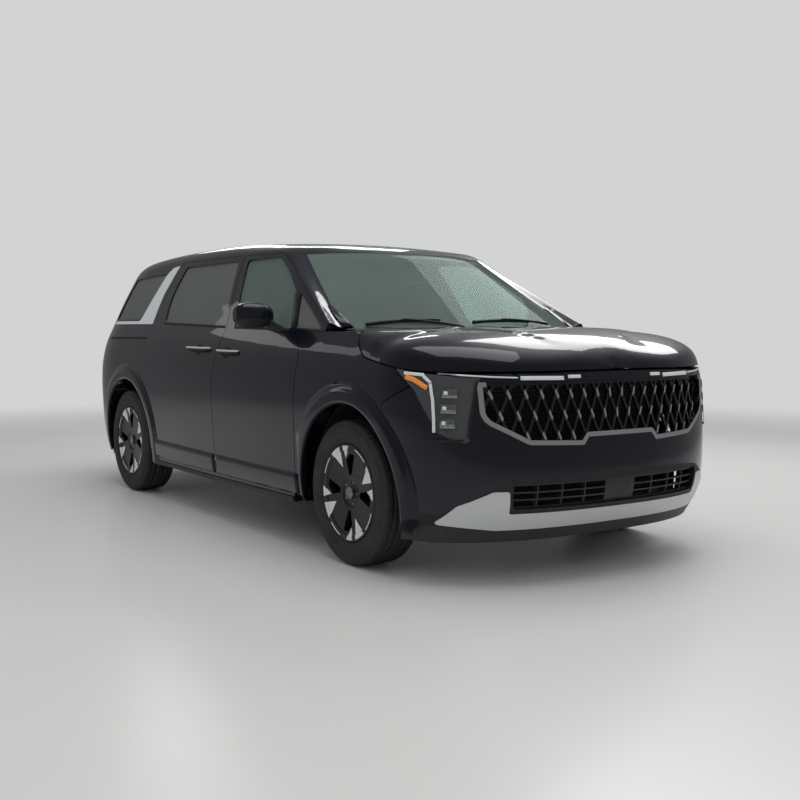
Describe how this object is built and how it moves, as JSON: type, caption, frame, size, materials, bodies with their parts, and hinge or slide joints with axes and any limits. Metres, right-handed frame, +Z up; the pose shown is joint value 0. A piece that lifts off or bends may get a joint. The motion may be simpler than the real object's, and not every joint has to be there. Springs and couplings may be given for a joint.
{
  "type": "minivan",
  "caption": "Full-size family minivan with hinged front doors, sliding rear doors, hood, tailgate, lattice grille and steered front wheels.",
  "frame": {"origin": "on the floor below the middle of the bounding box", "axes": "+X forward to the nose, +Y to the vehicle's left, +Z up"},
  "size_m": [5.1557, 2.332, 1.7556],
  "materials": {
    "paint": "gloss",
    "dark_trim": "matte",
    "silver_trim": "satin",
    "chrome_trim": "polished",
    "clear_glass": "clear",
    "dark_glass": "tinted",
    "lamp_glass": "clear",
    "red_lamp": "gloss",
    "tyre_rubber": "matte",
    "wheel_alloy": "satin",
    "iron": "rough",
    "steel": "brushed",
    "seat_cloth": "woven"
  },
  "bodies": {
    "body": {"body_side_left": "paint", "body_side_right": "paint", "cowl_panel": "dark_trim", "dashboard": "dark_trim", "door_seals": "dark_trim", "engine": "iron", "exhaust": "steel", "floor_pan": "paint", "front_bumper": "paint", "front_carrier": "iron", "front_fenders": "paint", "front_frame": "iron", "front_seats": "seat_cloth", "front_skid": "silver_trim", "front_valance": "dark_trim", "fuel_tank": "dark_trim", "grille": "dark_trim", "grille_accents": "chrome_trim", "grille_frame": "chrome_trim", "headlamps": "lamp_glass", "lamp_units": "dark_trim", "lower_grille": "dark_trim", "middle_seats": "seat_cloth", "pillar_fins": "chrome_trim", "rear_bumper": "paint", "rear_carrier": "iron", "rear_knuckles": "iron", "rear_seat": "seat_cloth", "roof": "paint", "side_glass": "dark_glass", "sliding_door_left": "paint", "sliding_door_right": "paint", "sliding_handles": "chrome_trim", "steering_column": "dark_trim", "tail_lamps": "red_lamp", "tail_sill": "iron", "wheel_wells": "dark_trim", "windshield": "clear_glass"},
    "hood": {"hood": "paint"},
    "tailgate": {"tailgate": "paint", "tailgate_glass": "dark_glass"},
    "front_door_right": {"front_door_right": "paint", "front_glass_right": "clear_glass", "handle_front_right": "chrome_trim", "mirror_right": "paint"},
    "front_door_left": {"front_door_left": "paint", "front_glass_left": "clear_glass", "handle_front_left": "chrome_trim", "mirror_left": "paint"},
    "steering_wheel": {"steering_wheel": "dark_trim"},
    "knuckle_front_right": {"knuckle_front_right": "iron"},
    "knuckle_front_left": {"knuckle_front_left": "iron"},
    "wheel_front_right": {"tyre_front_right": "tyre_rubber", "rim_front_right": "wheel_alloy"},
    "wheel_front_left": {"tyre_front_left": "tyre_rubber", "rim_front_left": "wheel_alloy"},
    "wheel_rear_right": {"tyre_rear_right": "tyre_rubber", "rim_rear_right": "wheel_alloy"},
    "wheel_rear_left": {"tyre_rear_left": "tyre_rubber", "rim_rear_left": "wheel_alloy"}
  },
  "joints": [
    {"name": "hood_hinge", "type": "hinge", "parent": "body", "child": "hood", "pos_m": [1.402, 0, 1.207], "axis": [0, -1, 0], "range_deg": [0, 50]},
    {"name": "tailgate_hinge", "type": "hinge", "parent": "body", "child": "tailgate", "pos_m": [-2.248, 0, 1.66], "axis": [0, 1, 0], "range_deg": [0, 85]},
    {"name": "door_right_hinge", "type": "hinge", "parent": "body", "child": "front_door_right", "pos_m": [1.0955, -0.996, 0.8], "axis": [0, 0, 1], "range_deg": [0, 68]},
    {"name": "door_left_hinge", "type": "hinge", "parent": "body", "child": "front_door_left", "pos_m": [1.0955, 0.996, 0.8], "axis": [0, 0, -1], "range_deg": [0, 68]},
    {"name": "steer_right", "type": "hinge", "parent": "body", "child": "knuckle_front_right", "pos_m": [1.6275, -0.8, 0.3695], "axis": [0, 0, 1], "range_deg": [-35, 35]},
    {"name": "steer_left", "type": "hinge", "parent": "body", "child": "knuckle_front_left", "pos_m": [1.6275, 0.8, 0.3695], "axis": [0, 0, 1], "range_deg": [-36, 36]},
    {"name": "steering_turn", "type": "hinge", "parent": "body", "child": "steering_wheel", "pos_m": [0.6625, 0.38, 1.01], "axis": [-0.9063, 0, 0.4226], "range_deg": [-500, 500]},
    {"name": "spin_front_right", "type": "hinge", "parent": "knuckle_front_right", "child": "wheel_front_right", "pos_m": [1.6275, -0.863, 0.3695], "axis": [0, 1, 0], "continuous": true},
    {"name": "spin_front_left", "type": "hinge", "parent": "knuckle_front_left", "child": "wheel_front_left", "pos_m": [1.6275, 0.863, 0.3695], "axis": [0, 1, 0], "continuous": true},
    {"name": "spin_rear_right", "type": "hinge", "parent": "body", "child": "wheel_rear_right", "pos_m": [-1.4625, -0.863, 0.3695], "axis": [0, 1, 0], "continuous": true},
    {"name": "spin_rear_left", "type": "hinge", "parent": "body", "child": "wheel_rear_left", "pos_m": [-1.4625, 0.863, 0.3695], "axis": [0, 1, 0], "continuous": true}
  ],
  "couplings": [
    {"joint": "steer_left", "follows": "steer_right", "ratio": 1},
    {"joint": "steering_turn", "follows": "steer_right", "ratio": 14}
  ]
}
